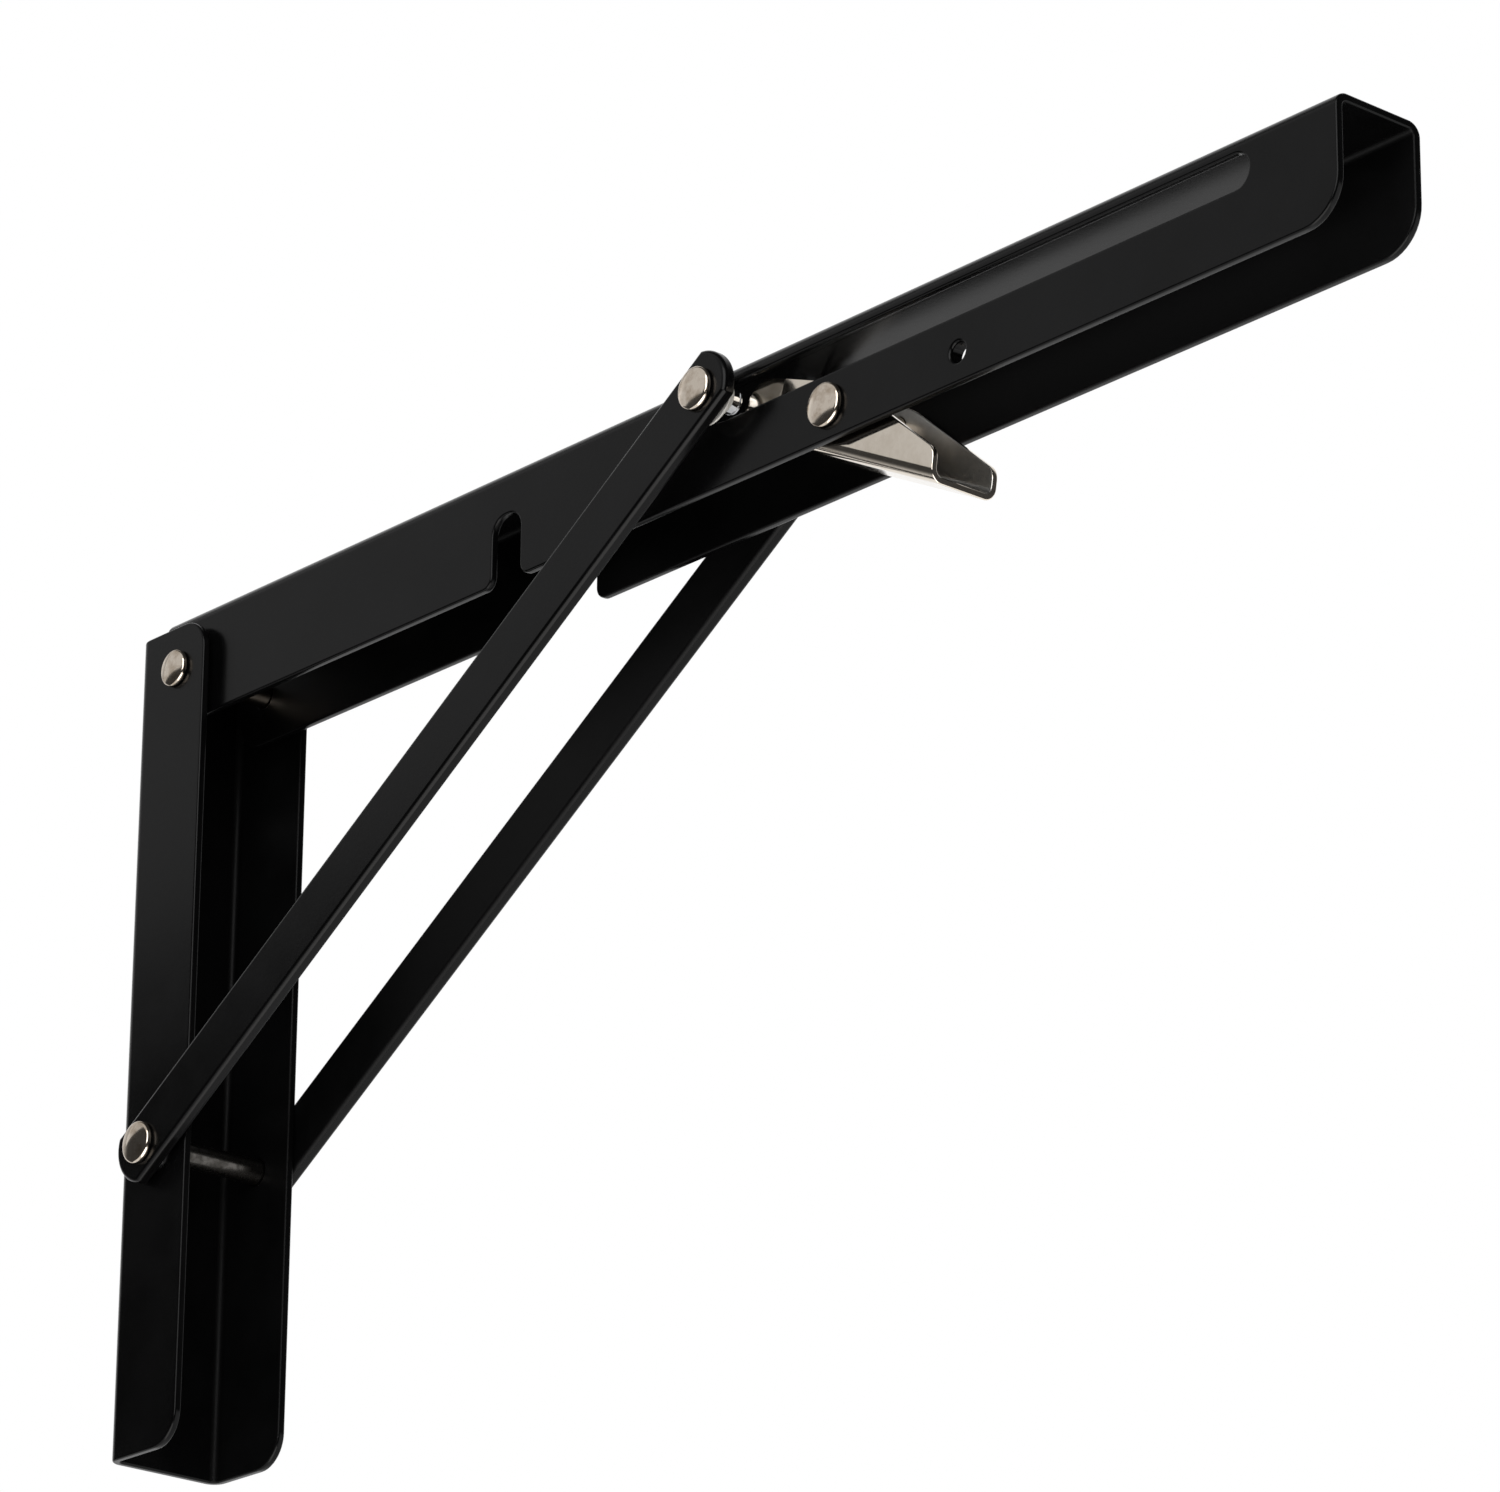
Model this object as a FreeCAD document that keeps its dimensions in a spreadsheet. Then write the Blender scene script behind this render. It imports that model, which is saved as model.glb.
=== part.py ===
"""Folding shelf bracket: a channel arm that folds down against a channel wall rail.

Two struts are pinned to the wall rail and slide in slots of the arm, and a sprung lever holds them.
Units are millimetres. The origin is the middle wall screw hole on the wall face:
+X points out from the wall along the open arm, +Y across the bracket, +Z up.
"""
import FreeCAD
import Part
import Sketcher
import math
import os

SIZES = {
    # folded sheet of both rails
    "sheet_thickness": 2.0,
    # wall rail
    "wall_length": 204.2,
    "wall_top_drop": 4.5,
    "wall_depth": 26.0,
    "wall_bend": 3.6,
    "wall_corner": 8.0,
    # shelf arm
    "arm_rise": 113.5,
    "arm_reach": 400.0,
    "arm_heel": 9.7,
    "arm_width": 24.7,
    "arm_height": 28.0,
    "arm_bend": 3.3,
    "arm_end_corner": 10.0,
    "arm_heel_corner": 8.0,
    # pin places: the arm pivot, the lower strut pin and the upper strut pin
    "pivot_from_wall": 15.5,
    "pivot_depth": 15.5,
    "lower_pin_from_wall": 14.0,
    "lower_pin_drop": 119.7,
    "upper_pin_reach": 195.85,
    # slots and notches in the arm's flanges, and the burred hole in the left one
    "slot_depth": 4.2,
    "slot_width": 8.2,
    "slot_gap": 0.1,
    "slot_spare": 0.5,
    "notch_width": 10.0,
    "notch_height": 16.6,
    "notch_offset": 0.5,
    "notch_round": 4.4,
    "notch_lead": 3.0,
    "side_hole_diameter": 4.6,
    "side_hole_reach": 41.6,
    "side_hole_depth": 20.9,
    "side_hole_collar": 1.9,
    "side_hole_wall": 1.2,
    "side_hole_lead": 0.8,
    # screw holes
    "screw_hole_diameter": 6.4,
    "wall_screw_pitch": 71.5,
    "shelf_screw_first": 50.0,
    "shelf_screw_middle": 180.0,
    "shelf_screw_from_end": 22.0,
    # pins, rivet heads and running clearances
    "pin_diameter": 6.2,
    "pin_gap": 0.05,
    "side_gap": 0.05,
    "running_gap": 0.15,
    "pivot_head_diameter": 9.6,
    "strut_head_diameter": 10.6,
    "lever_head_diameter": 10.8,
    "head_height": 1.6,
    "head_crown": 0.5,
    "head_rim": 0.9,
    # struts
    "strut_width": 14.6,
    "strut_thickness": 3.6,
    "strut_edge": 1.2,
    "strut_end_radius": 9.2,
    # washers and slot studs
    "pivot_washer_diameter": 13.0,
    "pivot_washer_thickness": 1.55,
    "lower_washer_diameter": 12.0,
    "lower_washer_thickness": 0.5,
    "slot_washer_diameter": 15.6,
    "slot_washer_thickness": 0.8,
    "slot_washer_neck": 10.6,
    "lever_washer_diameter": 11.0,
    "stud_diameter": 6.0,
    "stud_head_diameter": 9.0,
    "stud_head_height": 0.6,
    # release lever, in its own frame: pivot at the origin and the tail along +X
    "lever_pivot_reach": 34.15,
    "lever_pivot_depth": 20.0,
    "lever_droop_angle": 26.6,
    "lever_gap": 0.15,
    "lever_sheet": 1.5,
    "lever_inset": 0.8,
    "lever_inset_start": 20.5,
    "lever_inset_ramp": 1.6,
    "lever_nose": 32.6,
    "lever_nose_top": 2.9,
    "lever_nose_base": 7.0,
    "lever_nose_round": 7.0,
    "lever_nose_heel": 2.5,
    "lever_top": 5.4,
    "lever_crest": 8.0,
    "lever_shoulder": 4.0,
    "lever_shoulder_round": 25.0,
    "lever_tip_reach": 36.3,
    "lever_tip_drop": 3.0,
    "lever_tip_round": 4.0,
    "lever_tail": 38.6,
    "lever_base": 10.1,
    "lever_web_start": 6.0,
    "lever_bend": 3.3,
    # torsion spring of the lever
    "spring_wire": 0.9,
    "spring_gap": 0.3,
    "spring_pitch": 1.5,
    "spring_turns": 3.0,
    "spring_arm_leg_angle": 130.0,
    "spring_lever_leg": 24.0,
}

doc = FreeCAD.newDocument("folding_shelf_bracket")
sheet = doc.addObject("Spreadsheet::Sheet", "Sizes")


def fill_sheet():
    """Puts every driving dimension in a cell with an alias of its own."""
    for row, (alias, number) in enumerate(SIZES.items(), start=1):
        sheet.set(f"A{row}", alias)
        sheet.set(f"B{row}", str(number))
        sheet.setAlias(f"B{row}", alias)
    doc.recompute()


def value(expression):
    """Number that an expression of the sheet's cells gives."""
    result = sheet.evalExpression(expression)
    return float(getattr(result, "Value", result))


# Heights and reaches
ARM_TOP = "Sizes.arm_rise"
ARM_BOTTOM = f"({ARM_TOP} - Sizes.arm_height)"
ARM_START = "(Sizes.pivot_from_wall - Sizes.arm_heel)"
WALL_TOP = f"({ARM_TOP} - Sizes.wall_top_drop)"
WALL_BOTTOM = f"({WALL_TOP} - Sizes.wall_length)"
PIVOT_X = "Sizes.pivot_from_wall"
PIVOT_Z = f"({ARM_TOP} - Sizes.pivot_depth)"
LOWER_X = "Sizes.lower_pin_from_wall"
LOWER_Z = f"({PIVOT_Z} - Sizes.lower_pin_drop)"
UPPER_X = f"({PIVOT_X} + Sizes.upper_pin_reach)"
UPPER_Z = f"({ARM_TOP} - Sizes.slot_depth - Sizes.slot_gap - Sizes.stud_diameter / 2)"
SLOT_Z = f"({ARM_TOP} - Sizes.slot_depth - Sizes.slot_width / 2)"
LEVER_X = f"({UPPER_X} + Sizes.lever_pivot_reach)"
LEVER_Z = f"({ARM_TOP} - Sizes.lever_pivot_depth)"

# The strut's length, its angle when the arm is open, and how far its upper pin slides to when folded
STRUT_LENGTH = f"sqrt(({UPPER_X} - {LOWER_X}) ^ 2 + ({UPPER_Z} - {LOWER_Z}) ^ 2)"
STRUT_ANGLE = f"atan2({UPPER_Z} - {LOWER_Z}; {UPPER_X} - {LOWER_X})"
FOLDED_OFFSET = f"({UPPER_Z} - {PIVOT_Z} - {LOWER_X} + {PIVOT_X})"
FOLDED_X = f"({PIVOT_X} + Sizes.lower_pin_drop + sqrt({STRUT_LENGTH} ^ 2 - {FOLDED_OFFSET} ^ 2))"

# Distances from the middle plane
ARM_HALF = "(Sizes.arm_width / 2)"
ARM_INNER = f"({ARM_HALF} - Sizes.sheet_thickness)"
WALL_INNER = f"({ARM_HALF} + Sizes.pivot_washer_thickness + 2 * Sizes.side_gap)"
WALL_HALF = f"({WALL_INNER} + Sizes.sheet_thickness)"
STRUT_INNER = f"({WALL_HALF} + Sizes.lower_washer_thickness + 2 * Sizes.side_gap)"
STRUT_OUTER = f"({STRUT_INNER} + Sizes.strut_thickness)"
STUD_HEAD_OUTER = f"({ARM_INNER} - Sizes.running_gap)"
STUD_HEAD_INNER = f"({STUD_HEAD_OUTER} - Sizes.stud_head_height)"
LEVER_HALF = f"({STUD_HEAD_INNER} - Sizes.lever_gap)"
LEVER_INNER = f"({LEVER_HALF} - Sizes.lever_sheet)"

PIN_RADIUS = "(Sizes.pin_diameter / 2)"
PIN_HOLE = f"({PIN_RADIUS} + Sizes.pin_gap)"
STUD_RADIUS = "(Sizes.stud_diameter / 2)"
STUD_HOLE = f"({STUD_RADIUS} + Sizes.pin_gap)"
SCREW_HOLE = "(Sizes.screw_hole_diameter / 2)"

LEFT = -1
RIGHT = 1
SIDES = {"left": LEFT, "right": RIGHT}
NEAR = 1e-4


def new_body(label):
    """Empty body whose label names its file."""
    body = doc.addObject("PartDesign::Body", label)
    body.Label = label
    return body


def origin_feature(body, role):
    """Plane or axis of a body's own origin."""
    return next(f for f in body.Origin.OriginFeatures if f.Role == role)


def sketch_on(body, name, role, offset=None):
    """Sketch on one of the body's origin planes, or at an offset along that plane's normal."""
    sketch = body.newObject("Sketcher::SketchObject", name)
    sketch.AttachmentSupport = (origin_feature(body, role), [""])
    sketch.MapMode = "FlatFace"
    if offset:
        sketch.setExpression("AttachmentOffset.Base.z", offset)
    return sketch


def tie(sketch, kind, geometry, point, expression):
    """Signed distance of a sketch point from the sketch's origin."""
    if expression == "0":
        axis = -2 if kind == "DistanceX" else -1
        sketch.addConstraint(Sketcher.Constraint("PointOnObject", geometry, point, axis))
        return
    place = value(expression)
    index = sketch.addConstraint(Sketcher.Constraint(kind, -1, 1, geometry, point, place))
    sketch.setExpression(f"Constraints[{index}]", expression)


def tie_point(sketch, geometry, point, x, y):
    """Both distances of a sketch point from the sketch's origin."""
    tie(sketch, "DistanceX", geometry, point, x)
    tie(sketch, "DistanceY", geometry, point, y)


def tie_radius(sketch, geometry, expression):
    """Radius of a circle or an arc in a sketch."""
    index = sketch.addConstraint(Sketcher.Constraint("Radius", geometry, value(expression)))
    sketch.setExpression(f"Constraints[{index}]", expression)


def at(x, y):
    """Sketch vector of two expressions."""
    return FreeCAD.Vector(value(x), value(y), 0)


def dome_between(start, end):
    """Arc between two sketch points, the second anticlockwise of the first, about a centre on the Y axis."""
    middle = (start.y + end.y) / 2 + (end.x ** 2 - start.x ** 2) / (2 * (end.y - start.y))
    centre = FreeCAD.Vector(0, middle, 0)
    circle = Part.Circle(centre, FreeCAD.Vector(0, 0, 1), centre.distanceToPoint(start))
    angles = [math.atan2(point.y - middle, point.x) for point in (start, end)]
    return Part.ArcOfCircle(circle, *angles)


def draw_polygon(sketch, corners, domes=()):
    """Closed outline through corners given as pairs of expressions, with arcs after the corners in domes."""
    count = len(corners)
    first = sketch.GeometryCount
    for i, corner in enumerate(corners):
        ends = at(*corner), at(*corners[(i + 1) % count])
        sketch.addGeometry(dome_between(*ends) if i in domes else Part.LineSegment(*ends), False)
    for i, corner in enumerate(corners):
        following = first + (i + 1) % count
        sketch.addConstraint(Sketcher.Constraint("Coincident", first + i, 2, following, 1))
        tie_point(sketch, first + i, 1, *corner)
    for i in domes:
        sketch.addConstraint(Sketcher.Constraint("PointOnObject", first + i, 3, -2))


def draw_rectangle(sketch, left, right, low, high):
    """Upright rectangle between four expressions."""
    draw_polygon(sketch, [(left, low), (right, low), (right, high), (left, high)])


def draw_circle(sketch, x, y, radius):
    """Circle with its centre and radius as expressions."""
    up = FreeCAD.Vector(0, 0, 1)
    circle = sketch.addGeometry(Part.Circle(at(x, y), up, value(radius)), False)
    tie_point(sketch, circle, 3, x, y)
    tie_radius(sketch, circle, radius)


def draw_arc(sketch, x, y, radius, start, end):
    """Arc of a circle, drawn anticlockwise between two angles in degrees."""
    up = FreeCAD.Vector(0, 0, 1)
    circle = Part.Circle(at(x, y), up, value(radius))
    arc = Part.ArcOfCircle(circle, math.radians(start), math.radians(end))
    index = sketch.addGeometry(arc, False)
    tie_point(sketch, index, 3, x, y)
    tie_radius(sketch, index, radius)
    return index


def draw_slot(sketch, left, right, y, radius):
    """Slot with round ends whose centres lie at left and right."""
    right_end = draw_arc(sketch, right, y, radius, -90, 90)
    left_end = draw_arc(sketch, left, y, radius, 90, 270)
    above = f"({y} + {radius})"
    below = f"({y} - {radius})"
    top = sketch.addGeometry(Part.LineSegment(at(left, above), at(right, above)), False)
    base = sketch.addGeometry(Part.LineSegment(at(right, below), at(left, below)), False)
    for first, first_end, second, second_end in (
        (top, 2, right_end, 2), (right_end, 1, base, 1), (base, 2, left_end, 2), (left_end, 1, top, 1)
    ):
        sketch.addConstraint(Sketcher.Constraint("Tangent", first, first_end, second, second_end))


def pad(body, sketch, thickness):
    """Pad of equal depth on both sides of the sketch."""
    feature = body.newObject("PartDesign::Pad", f"{sketch.Name}_pad")
    feature.Profile = sketch
    feature.SideType = "Symmetric"
    feature.setExpression("Length", thickness)
    doc.recompute()
    return feature


def pocket(body, sketch, thickness=None):
    """Cut through the whole body, or of equal depth on both sides of the sketch, that removes something."""
    before = body.Shape.Volume
    feature = body.newObject("PartDesign::Pocket", f"{sketch.Name}_cut")
    feature.Profile = sketch
    feature.SideType = "Symmetric"
    if thickness is None:
        feature.Type = "ThroughAll"
    else:
        feature.Type = "Length"
        feature.setExpression("Length", thickness)
    doc.recompute()
    if not body.Shape.Volume < before:
        raise RuntimeError(f"{feature.Name} cut nothing")
    return feature


def is_near(edge, **places):
    """True where an edge's middle lies at the given x, y (either side) and z."""
    middle = edge.CenterOfMass
    found = {"x": middle.x, "y": abs(middle.y), "z": middle.z}
    return all(abs(found[axis] - value(place)) < NEAR for axis, place in places.items())


def runs_along(edge, axis):
    """True for a straight edge parallel to an axis of the body."""
    if not isinstance(edge.Curve, Part.Line):
        return False
    return abs(abs(getattr(edge.Curve.Direction, axis)) - 1) < NEAR


def fillet(body, name, radius, test):
    """Rounds the edges of the body's last feature that pass a test."""
    base = body.Tip
    edges = [
        f"Edge{i}" for i, edge in enumerate(base.Shape.Edges, start=1) if not edge.Degenerated and test(edge)
    ]
    if not edges:
        raise RuntimeError(f"{name} found no edges")
    feature = body.newObject("PartDesign::Fillet", name)
    feature.Base = (base, edges)
    feature.setExpression("Radius", radius)
    doc.recompute()
    return feature


def place(body, x="0", y="0", z="0"):
    """Moves a body by expressions."""
    for axis, expression in (("x", x), ("y", y), ("z", z)):
        if expression != "0":
            body.setExpression(f"Placement.Base.{axis}", expression)


def turn(body, axis, angle):
    """Turns a body about an axis through its origin by an expression in degrees."""
    body.Placement = FreeCAD.Placement(FreeCAD.Vector(), FreeCAD.Rotation(axis, value(angle)))
    body.setExpression("Placement.Rotation.Angle", angle)


def turned_piece(label, profile, x, z, side=RIGHT, domes=()):
    """Piece of revolution about the Y axis from corners of (radius, distance along Y)."""
    body = new_body(label)
    sketch = sketch_on(body, f"{label}_profile", "XY_Plane")
    draw_polygon(sketch, profile, domes)
    feature = body.newObject("PartDesign::Revolution", f"{label}_turned")
    feature.Profile = sketch
    feature.ReferenceAxis = (origin_feature(body, "Y_Axis"), [""])
    feature.Angle = 360
    doc.recompute()
    if side == LEFT:
        turn(body, FreeCAD.Vector(0, 0, 1), "180")
    place(body, x=x, z=z)
    return body


def round_rims(body, face):
    """Rounds the rims of a rivet's heads, which lie at a distance from the middle plane."""
    fillet(body, f"{body.Name}_rim", "Sizes.head_rim",
           lambda e: isinstance(e.Curve, Part.Circle) and is_near(e, y=face))


def through_rivet(label, grip, diameter, x, z):
    """Pin across the bracket with a domed head outside each of the faces that it grips."""
    seat = f"({grip} + Sizes.side_gap)"
    face = f"({seat} + Sizes.head_height)"
    crown = f"({face} + Sizes.head_crown)"
    head = f"({diameter} / 2)"
    profile = [
        ("0", f"-{crown}"), (head, f"-{face}"), (head, f"-{seat}"), (PIN_RADIUS, f"-{seat}"),
        (PIN_RADIUS, seat), (head, seat), (head, face), ("0", crown),
    ]
    body = turned_piece(label, profile, x, z, domes=(0, 6))
    round_rims(body, face)


def washer(label, diameter, hole, inner, outer, x, z, side):
    """Flat ring between two distances from the middle plane."""
    rim = f"({diameter} / 2)"
    profile = [(hole, inner), (rim, inner), (rim, outer), (hole, outer)]
    turned_piece(label, profile, x, z, side)


def build_wall_rail():
    """Channel that is screwed to the wall, open to the front, with rounded front corners."""
    body = new_body("wall_rail")
    outline = sketch_on(body, "wall_rail_side", "XZ_Plane")
    draw_rectangle(outline, "0", "Sizes.wall_depth", WALL_BOTTOM, WALL_TOP)
    pad(body, outline, f"2 * {WALL_HALF}")
    hollow = sketch_on(body, "wall_rail_hollow", "XY_Plane")
    draw_rectangle(hollow, "Sizes.sheet_thickness", "2 * Sizes.wall_depth", f"-{WALL_INNER}", WALL_INNER)
    pocket(body, hollow)
    fillet(body, "wall_rail_corners", "Sizes.wall_corner",
           lambda e: runs_along(e, "y") and is_near(e, x="Sizes.wall_depth"))
    fillet(body, "wall_rail_bends", "Sizes.wall_bend",
           lambda e: runs_along(e, "z") and is_near(e, x="0", y=WALL_HALF))
    fillet(body, "wall_rail_inner_bends", "Sizes.wall_bend - Sizes.sheet_thickness",
           lambda e: runs_along(e, "z") and is_near(e, x="Sizes.sheet_thickness", y=WALL_INNER))
    pins = sketch_on(body, "wall_rail_pins", "XZ_Plane")
    draw_circle(pins, PIVOT_X, PIVOT_Z, PIN_HOLE)
    draw_circle(pins, LOWER_X, LOWER_Z, PIN_HOLE)
    pocket(body, pins)
    screws = sketch_on(body, "wall_rail_screws", "YZ_Plane")
    for height in ("-Sizes.wall_screw_pitch", "0", "Sizes.wall_screw_pitch"):
        draw_circle(screws, "0", height, SCREW_HOLE)
    pocket(body, screws)


def cut_arm_notches(body):
    """Notches in the arm's flanges that straddle the lower strut pin when the arm is folded."""
    middle = f"({PIVOT_X} + Sizes.lower_pin_drop + Sizes.notch_offset)"
    left = f"({middle} - Sizes.notch_width / 2)"
    right = f"({middle} + Sizes.notch_width / 2)"
    top = f"({ARM_BOTTOM} + Sizes.notch_height)"
    notch = sketch_on(body, "arm_notch", "XZ_Plane")
    draw_rectangle(notch, left, right, f"({ARM_BOTTOM} - Sizes.notch_height)", top)
    pocket(body, notch)

    def is_corner(edge, height):
        sides = (is_near(edge, x=left, z=height), is_near(edge, x=right, z=height))
        return runs_along(edge, "y") and any(sides)

    fillet(body, "arm_notch_top", "Sizes.notch_round", lambda e: is_corner(e, top))
    fillet(body, "arm_notch_lead", "Sizes.notch_lead", lambda e: is_corner(e, ARM_BOTTOM))


def add_side_hole(body):
    """Hole in the left flange alone, with a rolled-in lead outside and a collar inside."""
    x = f"({LEVER_X} + Sizes.side_hole_reach)"
    z = f"({ARM_TOP} - Sizes.side_hole_depth)"
    radius = "(Sizes.side_hole_diameter / 2)"
    collar = sketch_on(body, "side_hole_collar", "XZ_Plane", ARM_INNER)
    draw_circle(collar, x, z, f"({radius} + Sizes.side_hole_wall)")
    pad(body, collar, "2 * Sizes.side_hole_collar")
    hole = sketch_on(body, "side_hole", "XZ_Plane", ARM_INNER)
    draw_circle(hole, x, z, radius)
    pocket(body, hole, "2 * (Sizes.sheet_thickness + Sizes.side_hole_collar)")
    fillet(body, "side_hole_lead_round", "Sizes.side_hole_lead",
           lambda e: isinstance(e.Curve, Part.Circle) and is_near(e, x=x, y=ARM_HALF, z=z))


def build_shelf_arm():
    """Channel that carries the shelf, open below, with slots, notches and holes."""
    body = new_body("shelf_arm")
    outline = sketch_on(body, "arm_side", "XZ_Plane")
    draw_rectangle(outline, ARM_START, "Sizes.arm_reach", ARM_BOTTOM, ARM_TOP)
    pad(body, outline, "Sizes.arm_width")
    fillet(body, "arm_end_corner_round", "Sizes.arm_end_corner",
           lambda e: is_near(e, x="Sizes.arm_reach", y="0", z=ARM_BOTTOM))
    fillet(body, "arm_heel_round", "Sizes.arm_heel_corner",
           lambda e: is_near(e, x=ARM_START, y="0", z=ARM_BOTTOM))
    hollow = sketch_on(body, "arm_hollow", "YZ_Plane")
    draw_rectangle(hollow, f"-{ARM_INNER}", ARM_INNER, f"({ARM_BOTTOM} - Sizes.arm_height)",
                   f"({ARM_TOP} - Sizes.sheet_thickness)")
    pocket(body, hollow)
    fillet(body, "arm_bends", "Sizes.arm_bend",
           lambda e: runs_along(e, "x") and is_near(e, y=ARM_HALF, z=ARM_TOP))
    fillet(body, "arm_inner_bends", "Sizes.arm_bend - Sizes.sheet_thickness",
           lambda e: runs_along(e, "x") and is_near(e, y=ARM_INNER, z=f"{ARM_TOP} - Sizes.sheet_thickness"))
    slot = sketch_on(body, "arm_slot", "XZ_Plane")
    draw_slot(slot, f"({UPPER_X} - Sizes.slot_spare)", f"({FOLDED_X} + Sizes.slot_spare)", SLOT_Z,
              "(Sizes.slot_width / 2)")
    pocket(body, slot)
    cut_arm_notches(body)
    holes = sketch_on(body, "arm_pins", "XZ_Plane")
    draw_circle(holes, PIVOT_X, PIVOT_Z, PIN_HOLE)
    draw_circle(holes, LEVER_X, LEVER_Z, PIN_HOLE)
    pocket(body, holes)
    add_side_hole(body)
    screws = sketch_on(body, "arm_screws", "XY_Plane")
    last = "(Sizes.arm_reach - Sizes.shelf_screw_from_end)"
    for reach in ("Sizes.shelf_screw_first", "Sizes.shelf_screw_middle", last):
        draw_circle(screws, reach, "0", SCREW_HOLE)
    pocket(body, screws)


def draw_strut(sketch):
    """Outline of a flat bar whose ends are arcs about its two pin holes."""
    half = "(Sizes.strut_width / 2)"
    end = "Sizes.strut_end_radius"
    corner = math.degrees(math.asin(value(f"{half} / {end}")))
    overhang = f"sqrt({end} ^ 2 - {half} ^ 2)"
    far = draw_arc(sketch, STRUT_LENGTH, "0", end, -corner, corner)
    near = draw_arc(sketch, "0", "0", end, 180 - corner, 180 + corner)
    left, right = f"-{overhang}", f"({STRUT_LENGTH} + {overhang})"
    top = sketch.addGeometry(Part.LineSegment(at(left, half), at(right, half)), False)
    base = sketch.addGeometry(Part.LineSegment(at(right, f"-{half}"), at(left, f"-{half}")), False)
    for first, first_end, second, second_end in (
        (top, 2, far, 2), (far, 1, base, 1), (base, 2, near, 2), (near, 1, top, 1)
    ):
        sketch.addConstraint(Sketcher.Constraint("Coincident", first, first_end, second, second_end))
    for line, height in ((top, half), (base, f"-{half}")):
        tie(sketch, "DistanceY", line, 1, height)
        sketch.addConstraint(Sketcher.Constraint("Horizontal", line))


def build_strut(name, side):
    """Flat bar with rounded edges from the lower pin to the arm's slot."""
    body = new_body(f"strut_{name}")
    outline = sketch_on(body, f"strut_{name}_outline", "XZ_Plane")
    draw_strut(outline)
    pad(body, outline, "Sizes.strut_thickness")
    fillet(body, f"strut_{name}_edges", "Sizes.strut_edge",
           lambda e: is_near(e, y="Sizes.strut_thickness / 2"))
    holes = sketch_on(body, f"strut_{name}_holes", "XZ_Plane")
    draw_circle(holes, "0", "0", PIN_HOLE)
    draw_circle(holes, STRUT_LENGTH, "0", STUD_HOLE)
    pocket(body, holes)
    turn(body, FreeCAD.Vector(0, -1, 0), STRUT_ANGLE)
    middle = f"({STRUT_INNER} + Sizes.strut_thickness / 2)"
    place(body, LOWER_X, f"{side} * {middle}", LOWER_Z)


def build_strut_rivet(name, side):
    """Headed rivet that fills the strut's upper hole."""
    seat = f"({STRUT_OUTER} + Sizes.side_gap)"
    face = f"({seat} + Sizes.head_height)"
    head = "(Sizes.strut_head_diameter / 2)"
    profile = [
        ("0", STRUT_INNER), (STUD_RADIUS, STRUT_INNER), (STUD_RADIUS, seat), (head, seat), (head, face),
        ("0", f"({face} + Sizes.head_crown)"),
    ]
    body = turned_piece(f"strut_rivet_{name}", profile, UPPER_X, UPPER_Z, side, domes=(4,))
    round_rims(body, face)


def build_slot_stud(name, side):
    """Stud that slides in one of the arm's slots, with a thin head inside the flange."""
    head = "(Sizes.stud_head_diameter / 2)"
    end = f"({STRUT_INNER} - Sizes.running_gap)"
    profile = [
        ("0", STUD_HEAD_INNER), (head, STUD_HEAD_INNER), (head, STUD_HEAD_OUTER),
        (STUD_RADIUS, STUD_HEAD_OUTER), (STUD_RADIUS, end), ("0", end),
    ]
    turned_piece(f"slot_stud_{name}", profile, UPPER_X, UPPER_Z, side)


def build_slot_washer(name, side):
    """Thin washer behind the strut, on a neck that rides on the arm's flange beside the slot."""
    inner = f"({ARM_HALF} + Sizes.running_gap)"
    outer = f"({STRUT_INNER} - Sizes.running_gap)"
    step = f"({outer} - Sizes.slot_washer_thickness)"
    neck = "(Sizes.slot_washer_neck / 2)"
    rim = "(Sizes.slot_washer_diameter / 2)"
    profile = [(STUD_HOLE, inner), (neck, inner), (neck, step), (rim, step), (rim, outer), (STUD_HOLE, outer)]
    turned_piece(f"slot_washer_{name}", profile, UPPER_X, UPPER_Z, side)


def build_washers(name, side):
    """The flat rings that space the moving pieces on one side."""
    gap = "Sizes.side_gap"
    washer(f"arm_pivot_washer_{name}", "Sizes.pivot_washer_diameter", PIN_HOLE,
           f"({ARM_HALF} + {gap})", f"({WALL_INNER} - {gap})", PIVOT_X, PIVOT_Z, side)
    washer(f"lower_washer_{name}", "Sizes.lower_washer_diameter", PIN_HOLE,
           f"({WALL_HALF} + {gap})", f"({STRUT_INNER} - {gap})", LOWER_X, LOWER_Z, side)
    washer(f"lever_washer_{name}", "Sizes.lever_washer_diameter", PIN_HOLE,
           f"({LEVER_HALF} + {gap})", f"({ARM_INNER} - {gap})", LEVER_X, LEVER_Z, side)


def draw_lever_plan(sketch, nose, tail, half):
    """Plan of the lever's channel at a half width, narrower by the inset towards the nose."""
    wide = "(-Sizes.lever_inset_start)"
    narrow = f"({wide} - Sizes.lever_inset_ramp)"
    inset = f"({half} - Sizes.lever_inset)"
    draw_polygon(sketch, [
        (nose, f"-{inset}"), (narrow, f"-{inset}"), (wide, f"-{half}"), (tail, f"-{half}"),
        (tail, half), (wide, half), (narrow, inset), (nose, inset),
    ])


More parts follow.
